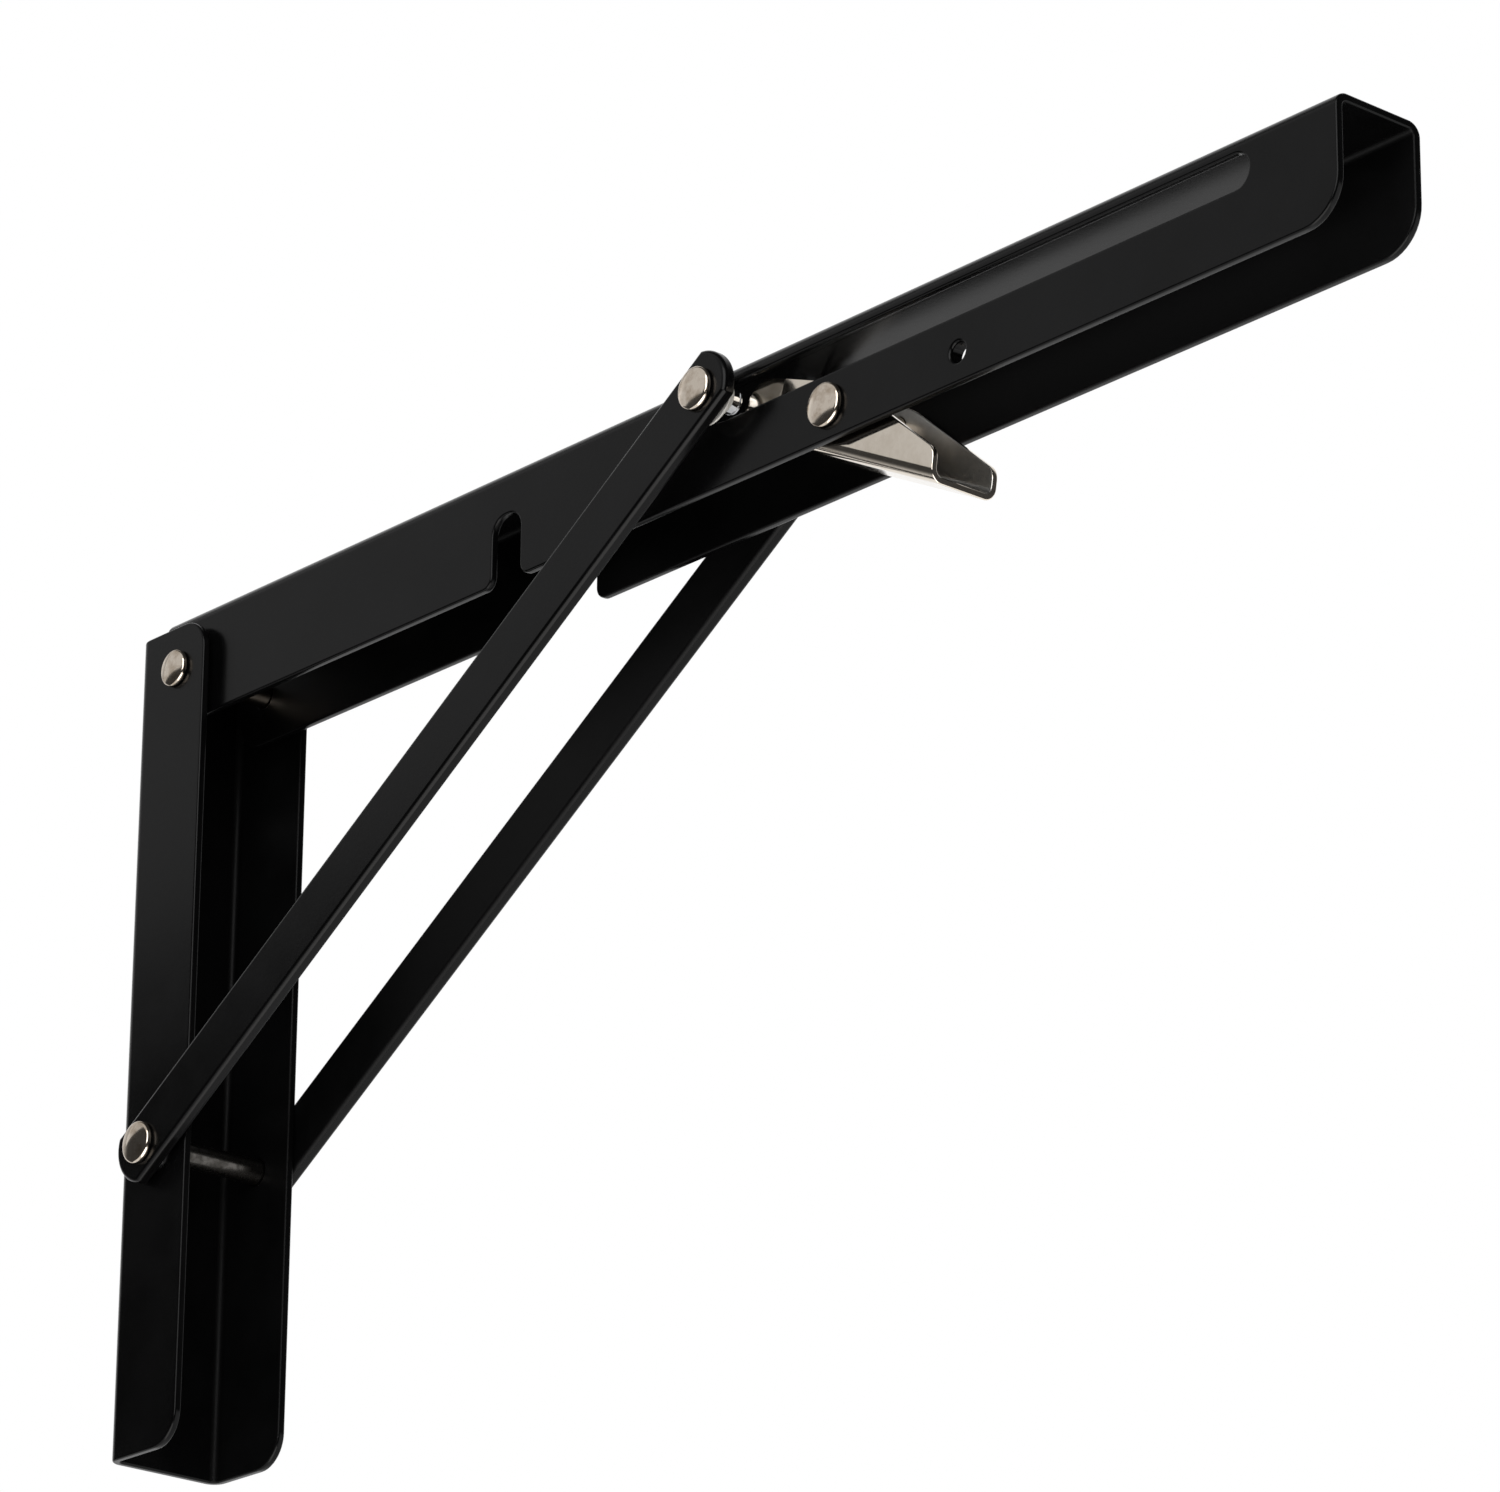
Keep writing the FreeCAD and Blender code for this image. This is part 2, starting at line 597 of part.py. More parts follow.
def build_release_lever():
    """Folded channel with a tapered tail to press and two cheeks whose noses stand in the slots."""
    body = new_body("release_lever")
    base = "(-Sizes.lever_base)"
    nose = "(-Sizes.lever_nose)"
    nose_base = "(-Sizes.lever_nose_base)"
    web_start = "(-Sizes.lever_web_start)"
    web_top = f"({base} + Sizes.lever_sheet)"
    tip = ("Sizes.lever_tip_reach", "(-Sizes.lever_tip_drop)")
    height = "(Sizes.lever_base + Sizes.lever_top)"
    beyond_nose = f"(2 * {nose})"
    beyond_tail = "(2 * Sizes.lever_tail)"
    plan = sketch_on(body, "lever_plan", "XY_Plane")
    draw_lever_plan(plan, nose, "Sizes.lever_tail", LEVER_HALF)
    pad(body, plan, f"2 * {height}")
    waste = sketch_on(body, "lever_side_waste", "XZ_Plane")
    draw_rectangle(waste, beyond_nose, beyond_tail, f"(-2 * {height})", f"(2 * {height})")
    draw_polygon(waste, [
        (nose, nose_base), (f"({web_start} - Sizes.lever_base + Sizes.lever_nose_base)", nose_base),
        (web_start, base), ("Sizes.lever_tail", base), tip, ("Sizes.lever_shoulder", "Sizes.lever_top"),
        ("(-Sizes.lever_crest)", "Sizes.lever_top"), (nose, "Sizes.lever_nose_top"),
    ])
    pocket(body, waste)
    fillet(body, "lever_nose_rounding", "Sizes.lever_nose_round",
           lambda e: is_near(e, x=nose, y="0", z="Sizes.lever_nose_top"))
    fillet(body, "lever_nose_heel_rounding", "Sizes.lever_nose_heel",
           lambda e: is_near(e, x=nose, y="0", z=nose_base))
    fillet(body, "lever_shoulder_rounding", "Sizes.lever_shoulder_round",
           lambda e: is_near(e, x="Sizes.lever_shoulder", y="0", z="Sizes.lever_top"))
    fillet(body, "lever_tip_rounding", "Sizes.lever_tip_round",
           lambda e: is_near(e, x=tip[0], y="0", z=tip[1]))
    fillet(body, "lever_bends", "Sizes.lever_bend",
           lambda e: runs_along(e, "x") and is_near(e, y=LEVER_HALF, z=base))
    hollow = sketch_on(body, "lever_hollow", "XY_Plane")
    draw_lever_plan(hollow, beyond_nose, beyond_tail, LEVER_INNER)
    pocket(body, hollow, f"-2 * {web_top}")
    fillet(body, "lever_inner_bends", "Sizes.lever_bend - Sizes.lever_sheet",
           lambda e: runs_along(e, "x") and is_near(e, y=LEVER_INNER, z=web_top))
    hole = sketch_on(body, "lever_hole", "XZ_Plane")
    draw_circle(hole, "0", "0", PIN_HOLE)
    pocket(body, hole)
    turn(body, FreeCAD.Vector(0, 1, 0), "Sizes.lever_droop_angle")
    place(body, x=LEVER_X, z=LEVER_Z)


def leg_to(start, direction, height):
    """End of a straight wire leg from start along direction that reaches a height."""
    return start + direction * ((height - start.y) / direction.y)


def build_lever_spring():
    """Torsion spring round the lever's pivot: one leg under the arm's web, one on the lever's web."""
    wire_radius = value("Sizes.spring_wire / 2")
    radius = value(f"{PIN_RADIUS} + Sizes.spring_gap") + wire_radius
    pitch = value("Sizes.spring_pitch")
    rise = pitch / (2 * math.pi * radius)
    touch = value("Sizes.side_gap")
    web_height = value(f"{ARM_TOP} - Sizes.sheet_thickness - {LEVER_Z}") - wire_radius - touch
    droop = math.radians(value("Sizes.lever_droop_angle"))
    lever_web = value("Sizes.lever_base - Sizes.lever_sheet") - wire_radius - touch
    reach = value("Sizes.spring_lever_leg")
    # the leg on the lever leaves the coil below the pin and meets the web at its own end
    leg_slope = math.atan2(lever_web, reach) - math.asin(radius / math.hypot(reach, lever_web))
    first = math.radians(value("Sizes.spring_arm_leg_angle") + 90)
    last = 1.5 * math.pi - droop - leg_slope
    turns = value("Sizes.spring_turns") + ((last - first) % (2 * math.pi)) / (2 * math.pi)
    height = turns * pitch
    coil = Part.makeHelix(pitch, height, radius)
    coil.rotate(FreeCAD.Vector(), FreeCAD.Vector(0, 0, 1), math.degrees(first))
    coil.translate(FreeCAD.Vector(0, 0, -height / 2))

    def on_coil(angle, level):
        return FreeCAD.Vector(radius * math.cos(angle), radius * math.sin(angle), level)

    def along(angle):
        return FreeCAD.Vector(-math.sin(angle), math.cos(angle), rise).normalize()

    start = on_coil(first, -height / 2)
    end = on_coil(last, height / 2)
    arm_end = leg_to(start, along(first), web_height)
    lever_end = end + along(last) * math.sqrt(reach ** 2 + lever_web ** 2 - radius ** 2)
    path = Part.Wire([Part.makeLine(arm_end, start)] + coil.Edges + [Part.makeLine(end, lever_end)])
    section = Part.Wire(Part.makeCircle(wire_radius, arm_end, along(first)))
    feature = doc.addObject("Part::Feature", "lever_spring")
    feature.Label = "lever_spring"
    feature.Shape = path.makePipeShell([section], True, True)
    feature.Placement = FreeCAD.Placement(
        FreeCAD.Vector(value(LEVER_X), 0, value(LEVER_Z)),
        FreeCAD.Rotation(FreeCAD.Vector(1, 0, 0), 90),
    )


def build_all():
    """Builds every piece of the bracket."""
    build_wall_rail()
    build_shelf_arm()
    through_rivet("arm_pivot_pin", WALL_HALF, "Sizes.pivot_head_diameter", PIVOT_X, PIVOT_Z)
    through_rivet("lower_strut_pin", STRUT_OUTER, "Sizes.strut_head_diameter", LOWER_X, LOWER_Z)
    through_rivet("lever_pivot_pin", ARM_HALF, "Sizes.lever_head_diameter", LEVER_X, LEVER_Z)
    for name, side in SIDES.items():
        build_strut(name, side)
        build_strut_rivet(name, side)
        build_slot_stud(name, side)
        build_slot_washer(name, side)
        build_washers(name, side)
    build_release_lever()
    build_lever_spring()
    doc.recompute()


def pieces():
    """Every finished piece of the document."""
    return [o for o in doc.Objects if o.isDerivedFrom("PartDesign::Body") or o.TypeId == "Part::Feature"]


def check_all():
    """Stops where an object failed or a piece is not a valid solid."""
    for item in doc.Objects:
        if "Invalid" in item.State or "Error" in item.State:
            raise RuntimeError(f"{item.Name} failed: {item.State}")
    for piece in pieces():
        shape = piece.Shape
        if shape.isNull() or not shape.isValid() or len(shape.Solids) != 1:
            raise RuntimeError(f"{piece.Label} is not one valid solid")


def export_all():
    """Writes each piece to a file with its own name."""
    os.makedirs("parts", exist_ok=True)
    for piece in pieces():
        piece.Shape.exportStep(f"parts/{piece.Label}.step")


fill_sheet()
build_all()
check_all()
export_all()
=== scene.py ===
"""Folding shelf bracket: rounds the edges of the CAD pieces, turns the round pieces again with finer
curves, gives every piece its finish and sets the studio."""
import bmesh
import bpy
from math import hypot, radians
from mathutils import Matrix, Quaternion, Vector
from bpy.props import FloatProperty, FloatVectorProperty, IntProperty, PointerProperty


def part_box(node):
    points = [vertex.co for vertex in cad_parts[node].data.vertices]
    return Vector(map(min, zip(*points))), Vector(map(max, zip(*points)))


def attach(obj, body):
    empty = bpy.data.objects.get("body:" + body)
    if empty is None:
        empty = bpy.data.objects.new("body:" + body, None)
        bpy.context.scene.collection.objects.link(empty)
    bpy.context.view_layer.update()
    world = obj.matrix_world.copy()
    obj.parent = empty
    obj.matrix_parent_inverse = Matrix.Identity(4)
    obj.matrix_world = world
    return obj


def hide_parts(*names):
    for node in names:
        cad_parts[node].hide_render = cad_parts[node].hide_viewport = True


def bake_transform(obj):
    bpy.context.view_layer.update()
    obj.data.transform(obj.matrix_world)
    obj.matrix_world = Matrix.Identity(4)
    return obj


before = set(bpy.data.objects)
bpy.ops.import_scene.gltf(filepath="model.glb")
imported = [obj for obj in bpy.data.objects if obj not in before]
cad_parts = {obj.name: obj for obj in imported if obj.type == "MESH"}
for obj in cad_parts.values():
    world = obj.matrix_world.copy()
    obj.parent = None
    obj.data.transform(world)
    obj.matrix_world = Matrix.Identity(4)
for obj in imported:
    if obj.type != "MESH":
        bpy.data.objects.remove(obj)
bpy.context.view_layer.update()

bl_info = {
    "name": "Folding shelf bracket",
    "version": (1, 0, 0),
    "blender": (4, 5, 0),
    "location": "View3D > Sidebar > Bracket",
    "description": "Finishes the pieces of a folding shelf bracket and lights them",
    "category": "Object",
}

# CAD nodes and the bodies that their pieces ride on. A spring has a fixed and a moving one.
RAILS = {"wall_rail": "rail", "shelf_arm": "arm"}
STRUTS = {"strut_left": "struts", "strut_right": "struts"}
LEVER = {"release_lever": "lever"}
PINS = {"arm_pivot_pin": "rail", "lower_strut_pin": "rail", "lever_pivot_pin": "arm"}
RIVETS = {"strut_rivet_left": "struts", "strut_rivet_right": "struts"}
STUDS = {"slot_stud_left": "slot_sliders", "slot_stud_right": "slot_sliders"}
SLOT_WASHERS = {"slot_washer_left": "slot_sliders", "slot_washer_right": "slot_sliders"}
SPRINGS = {"lever_spring": ("arm", "lever")}

# Pins whose shaft between the rail's walls gets painted shade, and washers that keep their CAD shape.
DARK_SHAFTS = ("lower_strut_pin",)
ZINC_NODES = (
    "arm_pivot_washer_left", "arm_pivot_washer_right", "lower_washer_left", "lower_washer_right",
    "lever_washer_left", "lever_washer_right",
)

# Mesh work.
MERGE = 1e-6  # metres between corners that become one
FLAT = radians(0.2)  # largest angle between faces that become one
LEAN = 0.05  # smallest part along Y in the normal of a face that is turned inwards
TURN_STEPS = 96  # steps of a full turn
DOME_STEPS = 8  # steps from the middle of a head's dome to its rim

# Grain and marks.
NOISE_DETAIL = {"Grain": 2.0, "Mottle": 4.0}
NOISE_ROUGHNESS = 0.6
MARK_DETAIL = 3.0
MASK_RANGE = (0.3, 0.7)  # values of a mask over which roughness changes
COLOUR_RANGE = (0.35, 0.65)  # values of the mottle over which one colour turns into the other

# Finishes: metallic share, scales of grain and mottle, the two colours that the mottle mixes, and over
# which of its values, least and most roughness, height in metres and strength of the bump.
FINISHES = {
    # satin powder coat with a fine orange peel
    "satin_black_coat": {
        "metallic": 0.0, "grain": 900.0, "mottle": 45.0, "colours": ("coat", "coat_worn"),
        "roughness": (0.19, 0.24), "bump": (0.00002, 0.35), "specular": 0.14,
    },
    # the same coat where it falls thin and dull, on the faces inside the channels
    "dull_black_coat": {
        "metallic": 0.0, "grain": 900.0, "mottle": 45.0, "colours": ("coat", "coat_worn"),
        "roughness": (0.42, 0.52), "bump": (0.00002, 0.35), "specular": 0.12,
    },
    # bright plate of the lever, whose polishing marks vary its roughness
    "lever_nickel_plate": {
        "metallic": 1.0, "grain": 1800.0, "mottle": 150.0, "colours": ("nickel", "nickel_stain"),
        "range": (0.45, 0.8), "roughness": (0.07, 0.13), "bump": (0.00002, 0.12),
        "marks": (120.0, 900.0, 2600.0),
    },
    # unpolished plate inside the lever's channel
    "inner_nickel_plate": {
        "metallic": 1.0, "grain": 1400.0, "mottle": 120.0, "colours": ("nickel_inside", "nickel_soot"),
        "roughness": (0.30, 0.38), "bump": (0.00002, 0.2),
    },
    # plate of the rivets, handled and stained
    "rivet_nickel_plate": {
        "metallic": 1.0, "grain": 2400.0, "mottle": 330.0, "colours": ("rivet", "rivet_stain"),
        "range": (0.42, 0.66), "roughness": (0.08, 0.16), "bump": (0.00002, 0.14),
    },
    # dark steel of a pin's shaft between the rail's walls: painted shade of the walls and painted dark
    # reflection of the channel, with random stains
    "oiled_shaft_steel": {
        "metallic": 1.0, "grain": 1800.0, "mottle": 420.0, "colours": ("shaft", "shaft_shade_and_stain"),
        "range": (0.4, 0.62), "roughness": (0.2, 0.34), "bump": (0.00003, 0.2),
    },
    # plate of the slot studs, whiter than the rivets'
    "stud_bright_plate": {
        "metallic": 1.0, "grain": 1400.0, "mottle": 260.0, "colours": ("zinc", "zinc_stain"),
        "roughness": (0.07, 0.13), "bump": (0.00001, 0.15),
    },
    # plate of the flat washers
    "dull_zinc_plate": {
        "metallic": 1.0, "grain": 3000.0, "mottle": 260.0, "colours": ("zinc", "zinc_stain"),
        "roughness": (0.28, 0.42), "bump": (0.00002, 0.2),
    },
    # nylon of the slot washers
    "moulded_nylon": {
        "metallic": 0.0, "grain": 2200.0, "mottle": 300.0, "colours": ("nylon", "nylon_shade"),
        "roughness": (0.36, 0.5), "bump": (0.00002, 0.2),
    },
    # wire of the lever's spring
    "drawn_spring_wire": {
        "metallic": 1.0, "grain": 4000.0, "mottle": 400.0, "colours": ("wire", "wire_stain"),
        "roughness": (0.22, 0.36), "bump": (0.00001, 0.2),
    },
}
# Finishes outside and inside a folded piece.
COATS = ("satin_black_coat", "dull_black_coat")
LEVER_PLATES = ("lever_nickel_plate", "inner_nickel_plate")

# Studio.
SENSOR = 36.0  # width of the camera's sensor in millimetres
CLIP = (0.01, 50.0)  # metres from the camera between which it sees
WHITE = (1, 1, 1, 1)
ACROSS = (1, 1, 0)  # leaves the height out of a place
FLOOR_ROUGHNESS = 0.8
FLOOR_FADE = (0.35, 0.98)  # shares of the floor's radius over which it turns into the background
FLOOR_GREY = (0.8, 0.0)  # floor's colour before and after the fade
FLOOR_GLOW = (0.4, 1.0)  # floor's own light before and after the fade
ROOM_BACK = (-0.66, 0.72, 0.2)  # direction of the room's white side, behind the bracket
ROOM_RANGE = (0.3, 0.7)  # cosines to that direction over which the room brightens
ROOM_WHITE = 1.0  # brightness of that side, and of what the camera sees of the room


class BracketEdges(bpy.types.PropertyGroup):
    """Small roundings that pressing, tumbling, turning and coating leave on edges."""

    rail: FloatProperty(
        name="Rail edge", description="Edge rounding of the two rails",
        default=0.00055, unit="LENGTH", precision=5)
    strut: FloatProperty(
        name="Strut edge", description="Rounding left at the struts' ends and holes",
        default=0.00025, unit="LENGTH", precision=5)
    lever: FloatProperty(
        name="Lever edge", description="Edge rounding of the plated lever",
        default=0.0003, unit="LENGTH", precision=5)
    stud: FloatProperty(
        name="Stud edge", description="Rounding of the slot studs' edges",
        default=0.0001, unit="LENGTH", precision=5)
    head: FloatProperty(
        name="Head edge", description="Rounding of the rivet heads' rims",
        default=0.0005, unit="LENGTH", precision=5)
    washer: FloatProperty(
        name="Washer edge", description="Rounding of the slot washers",
        default=0.00015, unit="LENGTH", precision=5)
    segments: IntProperty(
        name="Segments", description="Steps across a rounded edge", default=3, min=1, max=6)
    sharp: FloatProperty(
        name="Sharp angle", description="Smallest corner that is rounded",
        default=radians(35), subtype="ANGLE")


class BracketTurning(bpy.types.PropertyGroup):
    """Sizes of the round pieces: rivets, pins, slot studs, slot washers and the spring."""

    height: FloatProperty(
        name="Head height", description="Height of a rivet head with its dome",
        default=0.0021, unit="LENGTH", precision=5)
    crown: FloatProperty(
        name="Head dome", description="Rise of a rivet head's dome",
        default=0.0007, unit="LENGTH", precision=5)
    slimming: FloatProperty(
        name="Head slimming", description="Share of a CAD head's width that the visible head keeps",
        default=0.955, min=0.8, max=1.0, subtype="FACTOR")
    pin: FloatProperty(
        name="Pin", description="Diameter of the pins' shafts",
        default=0.0062, unit="LENGTH", precision=5)
    rivet: FloatProperty(
        name="Rivet", description="Diameter of the strut rivets' and slot studs' shafts",
        default=0.006, unit="LENGTH", precision=5)
    stud_lip: FloatProperty(
        name="Stud lip", description="Diameter of the slot studs' inner ends",
        default=0.0064, unit="LENGTH", precision=5)
    stud_sheet: FloatProperty(
        name="Stud lip thickness", description="Thickness of the slot studs' inner ends",
        default=0.0006, unit="LENGTH", precision=5)
    washer: FloatProperty(
        name="Slot washer", description="Diameter of the slot washers",
        default=0.0148, unit="LENGTH", precision=5)
    washer_sheet: FloatProperty(
        name="Slot washer sheet", description="Thickness of the slot washers' rims",
        default=0.0005, unit="LENGTH", precision=5)
    neck: FloatProperty(
        name="Slot washer neck", description="Diameter of the slot washers' necks",
        default=0.0076, unit="LENGTH", precision=5)
    bore: FloatProperty(
        name="Slot washer bore", description="Diameter of the slot washers' bores",
        default=0.0062, unit="LENGTH", precision=5)
    coil: FloatProperty(
        name="Spring coil", description="Diameter around the spring's coil",
        default=0.0092, unit="LENGTH", precision=5)
    wire: FloatProperty(
        name="Spring wire", description="Diameter of the spring's wire",
        default=0.0009, unit="LENGTH", precision=5)


class BracketFinish(bpy.types.PropertyGroup):
    """Colours of the finishes."""

    coat: FloatVectorProperty(
        name="Coat", description="Satin black powder coat",
        subtype="COLOR", size=4, min=0, max=1, default=(0.0008, 0.0008, 0.00085, 1))
    coat_worn: FloatVectorProperty(
        name="Coat, thin", description="Coat where it lies thinner",
        subtype="COLOR", size=4, min=0, max=1, default=(0.0017, 0.0017, 0.0018, 1))
    nickel: FloatVectorProperty(
        name="Nickel", description="Bright nickel plate of the lever",
        subtype="COLOR", size=4, min=0, max=1, default=(0.74, 0.67, 0.58, 1))
    nickel_stain: FloatVectorProperty(
        name="Nickel, dull", description="Slightly stained plate of the lever",
        subtype="COLOR", size=4, min=0, max=1, default=(0.62, 0.55, 0.46, 1))
    nickel_inside: FloatVectorProperty(
        name="Nickel inside", description="Unpolished plate inside the lever",
        subtype="COLOR", size=4, min=0, max=1, default=(0.68, 0.665, 0.635, 1))
    nickel_soot: FloatVectorProperty(
        name="Nickel inside, dull", description="Dull plate inside the lever",
        subtype="COLOR", size=4, min=0, max=1, default=(0.52, 0.505, 0.475, 1))
    rivet: FloatVectorProperty(
        name="Rivet plate", description="Bright plate of the rivets",
        subtype="COLOR", size=4, min=0, max=1, default=(0.69, 0.61, 0.52, 1))
    rivet_stain: FloatVectorProperty(
        name="Rivet plate, stained", description="Brownish stains on the rivets",
        subtype="COLOR", size=4, min=0, max=1, default=(0.47, 0.39, 0.305, 1))
    # Painted shade: the two dark shaft colours stand for the rail walls' shade and the channel's dark
    # reflection; the second colour adds random stains.
    shaft: FloatVectorProperty(
        name="Dark shaft", description="Oiled steel of a pin's shaft",
        subtype="COLOR", size=4, min=0, max=1, default=(0.10, 0.094, 0.088, 1))
    shaft_shade_and_stain: FloatVectorProperty(
        name="Dark shaft, stained", description="Stained steel of a pin's shaft",
        subtype="COLOR", size=4, min=0, max=1, default=(0.045, 0.042, 0.038, 1))
    zinc: FloatVectorProperty(
        name="Zinc", description="Zinc plate of the washers and slot studs",
        subtype="COLOR", size=4, min=0, max=1, default=(0.56, 0.57, 0.58, 1))
    zinc_stain: FloatVectorProperty(
        name="Zinc, dull", description="Oxidised zinc",
        subtype="COLOR", size=4, min=0, max=1, default=(0.40, 0.40, 0.41, 1))
    nylon: FloatVectorProperty(
        name="Nylon", description="Pale nylon slot washers",
        subtype="COLOR", size=4, min=0, max=1, default=(0.50, 0.49, 0.46, 1))
    nylon_shade: FloatVectorProperty(
        name="Nylon, shaded", description="Nylon with handling marks",
        subtype="COLOR", size=4, min=0, max=1, default=(0.36, 0.35, 0.33, 1))
    wire: FloatVectorProperty(
        name="Spring wire", description="Drawn spring wire",
        subtype="COLOR", size=4, min=0, max=1, default=(0.52, 0.50, 0.47, 1))
    wire_stain: FloatVectorProperty(
        name="Spring wire, dull", description="Oiled spring wire",
        subtype="COLOR", size=4, min=0, max=1, default=(0.34, 0.32, 0.30, 1))


class BracketStudio(bpy.types.PropertyGroup):
    """Camera, floor, room and lamps."""

    camera: FloatVectorProperty(
        name="Camera", description="Place of the camera",
        subtype="TRANSLATION", size=3, default=(1.2835, -0.9369, -0.5141))
    look: FloatVectorProperty(
        name="Look", description="Direction that the camera looks in",
        subtype="DIRECTION", size=3, default=(-0.7051, 0.6136, 0.3554))
    right: FloatVectorProperty(
        name="Right", description="Direction of the picture's right side",
        subtype="DIRECTION", size=3, default=(0.6587, 0.7524, 0.0078))
    lens: FloatProperty(
        name="Lens", description="Focal length on a 36 mm sensor", default=167.66, unit="CAMERA")
    floor: FloatProperty(
        name="Floor", description="Height of the floor", default=-0.9, unit="LENGTH")
    floor_radius: FloatProperty(
        name="Floor radius", description="Reach of the floor", default=1.6, unit="LENGTH")
    fill: FloatProperty(
        name="Fill", description="Strength of the room's even light",
        default=0.45, min=0.0, max=1.0, subtype="FACTOR")
    dim: FloatProperty(
        name="Dim side", description="Brightness of the room on the camera's side",
        default=0.05, min=0.0, max=1.0, subtype="FACTOR")
    key: FloatProperty(
        name="Key lamp", description="Power of the soft box at the left",
        default=1.23, unit="POWER")
    front: FloatProperty(
        name="Front lamp", description="Power of the soft box above the camera",
        default=11.0, unit="POWER")
    back: FloatProperty(
        name="Back lamp", description="Power of the soft box behind the bracket",
        default=4.0, unit="POWER")
    low: FloatProperty(
        name="Low lamp", description="Power of the soft box on the floor",
        default=12.0, unit="POWER")


class BracketSettings(bpy.types.PropertyGroup):
    """All settings of the bracket."""

    edges: PointerProperty(
        name="Edges", description="Roundings of the edges", type=BracketEdges)
    turning: PointerProperty(
        name="Turning", description="Sizes of the round pieces", type=BracketTurning)
    finish: PointerProperty(
        name="Finish", description="Colours of the finishes", type=BracketFinish)
    studio: PointerProperty(
        name="Studio", description="Camera, floor, room and lamps", type=BracketStudio)


def settings():
    """The scene's settings of the bracket."""
    return bpy.context.scene.bracket


def map_range(tree, value, source, target, interpolation="LINEAR"):
    """Output that runs through the target range as a value runs through the source range."""
    node = tree.nodes.new("ShaderNodeMapRange")
    node.interpolation_type = interpolation
    for name, bound in zip(("From Min", "From Max", "To Min", "To Max"), (*source, *target)):
        node.inputs[name].default_value = bound
    tree.links.new(value, node.inputs["Value"])
    return node.outputs["Result"]


def grain_group():
    """Node group of a fine grain over a slow mottle, for every finish."""
    found = bpy.data.node_groups.get("surface_grain")
    if found:
        return found
    group = bpy.data.node_groups.new("surface_grain", "ShaderNodeTree")
    sockets = group.interface
    sockets.new_socket("Vector", in_out="INPUT", socket_type="NodeSocketVector")
    for name in NOISE_DETAIL:
        sockets.new_socket(f"{name} Scale", in_out="INPUT", socket_type="NodeSocketFloat")
        sockets.new_socket(name, in_out="OUTPUT", socket_type="NodeSocketFloat")
    nodes, links = group.nodes, group.links
    start = nodes.new("NodeGroupInput")
    end = nodes.new("NodeGroupOutput")
    for name, detail in NOISE_DETAIL.items():
        noise = nodes.new("ShaderNodeTexNoise")
        noise.inputs["Detail"].default_value = detail
        noise.inputs["Roughness"].default_value = NOISE_ROUGHNESS
        links.new(start.outputs["Vector"], noise.inputs["Vector"])
        links.new(start.outputs[f"{name} Scale"], noise.inputs["Scale"])
        links.new(noise.outputs["Fac"], end.inputs[name])
    return group


def scratch_group():
    """Node group of thin straight polishing marks along one direction."""
    found = bpy.data.node_groups.get("polish_marks")
    if found:
        return found
    group = bpy.data.node_groups.new("polish_marks", "ShaderNodeTree")
    sockets = group.interface
    sockets.new_socket("Vector", in_out="INPUT", socket_type="NodeSocketVector")
    sockets.new_socket("Stretch", in_out="INPUT", socket_type="NodeSocketVector")
    sockets.new_socket("Marks", in_out="OUTPUT", socket_type="NodeSocketFloat")
    nodes, links = group.nodes, group.links
    start = nodes.new("NodeGroupInput")
    end = nodes.new("NodeGroupOutput")
    scale = nodes.new("ShaderNodeVectorMath")
    scale.operation = "MULTIPLY"
    noise = nodes.new("ShaderNodeTexNoise")
    noise.inputs["Scale"].default_value = 1.0
    noise.inputs["Detail"].default_value = MARK_DETAIL
    links.new(start.outputs["Vector"], scale.inputs[0])
    links.new(start.outputs["Stretch"], scale.inputs[1])
    links.new(scale.outputs["Vector"], noise.inputs["Vector"])
    links.new(noise.outputs["Fac"], end.inputs["Marks"])
    return group


class Finish:
    """A material under construction: its tree, its Principled shader and the grain on it."""

    def __init__(self, name, metallic, grain, mottle):
        self.material = bpy.data.materials.new(name)
        self.material.use_nodes = True
        self.tree = self.material.node_tree
        self.shader = self.tree.nodes["Principled BSDF"]
        self.shader.inputs["Metallic"].default_value = metallic
        self.place = self.tree.nodes.new("ShaderNodeTexCoord").outputs["Object"]
        self.grain = self.tree.nodes.new("ShaderNodeGroup")
        self.grain.node_tree = grain_group()
        self.grain.inputs["Grain Scale"].default_value = grain
        self.grain.inputs["Mottle Scale"].default_value = mottle
        self.tree.links.new(self.place, self.grain.inputs["Vector"])

    def colour(self, first, second, low, high):
        """Base colour that drifts from one colour to another with the mottle."""
        ramp = self.tree.nodes.new("ShaderNodeValToRGB")
        ramp.color_ramp.elements[0].position = low
        ramp.color_ramp.elements[0].color = first
        ramp.color_ramp.elements[1].position = high
        ramp.color_ramp.elements[1].color = second
        self.tree.links.new(self.grain.outputs["Mottle"], ramp.inputs["Fac"])
        self.tree.links.new(ramp.outputs["Color"], self.shader.inputs["Base Color"])

    def roughness(self, bounds, mask):
        """Roughness that runs between two values with the mask."""
        rough = map_range(self.tree, mask, MASK_RANGE, bounds)
        self.tree.links.new(rough, self.shader.inputs["Roughness"])

    def bump(self, height, strength):
        """Bump of a height in metres from the grain."""
        node = self.tree.nodes.new("ShaderNodeBump")
        node.inputs["Distance"].default_value = height
        node.inputs["Strength"].default_value = strength
        self.tree.links.new(self.grain.outputs["Grain"], node.inputs["Height"])
        self.tree.links.new(node.outputs["Normal"], self.shader.inputs["Normal"])

    def marks(self, stretch):
        """Mask of polishing marks, stretched by a scale along each axis."""
        node = self.tree.nodes.new("ShaderNodeGroup")
        node.node_tree = scratch_group()
        node.inputs["Stretch"].default_value = stretch
        self.tree.links.new(self.place, node.inputs["Vector"])
        return node.outputs["Marks"]


